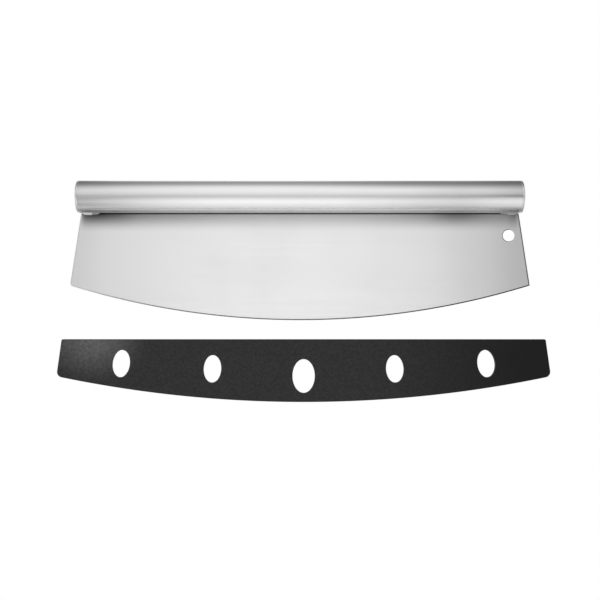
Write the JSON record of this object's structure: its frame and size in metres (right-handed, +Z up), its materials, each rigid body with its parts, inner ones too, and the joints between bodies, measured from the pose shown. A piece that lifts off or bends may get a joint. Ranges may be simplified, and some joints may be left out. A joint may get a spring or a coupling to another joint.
{
  "type": "rocking pizza knife",
  "caption": "Rocking pizza knife: a curved sheet blade welded under a round tube handle, with a slide-on black plastic edge sheath.",
  "frame": {"origin": "middle of the handle tube's axis", "axes": "+X along the handle to its right end, +Z up from the edge to the handle, +Y through the blade, away from the viewer of the picture"},
  "size_m": [0.3804, 0.025, 0.1708],
  "materials": {
    "blade_steel": "brushed along the length",
    "handle_steel": "brushed along the length",
    "cap_steel": "fine turned",
    "weld_metal": "ground weld",
    "sheath_plastic": "fine texture"
  },
  "bodies": {
    "knife": {"blade": "blade_steel", "handle_tube": "handle_steel", "left_end_cap": "cap_steel", "right_end_cap": "cap_steel", "left_weld": "weld_metal", "right_weld": "weld_metal"},
    "sheath": {"sheath_front_wall": "sheath_plastic", "sheath_back_wall": "sheath_plastic", "sheath_rim": "sheath_plastic"}
  },
  "joints": [
    {"name": "sheath_slide", "type": "slide", "parent": "knife", "child": "sheath", "axis": [0, 0, 1], "range_m": [0, 0.0598]}
  ]
}
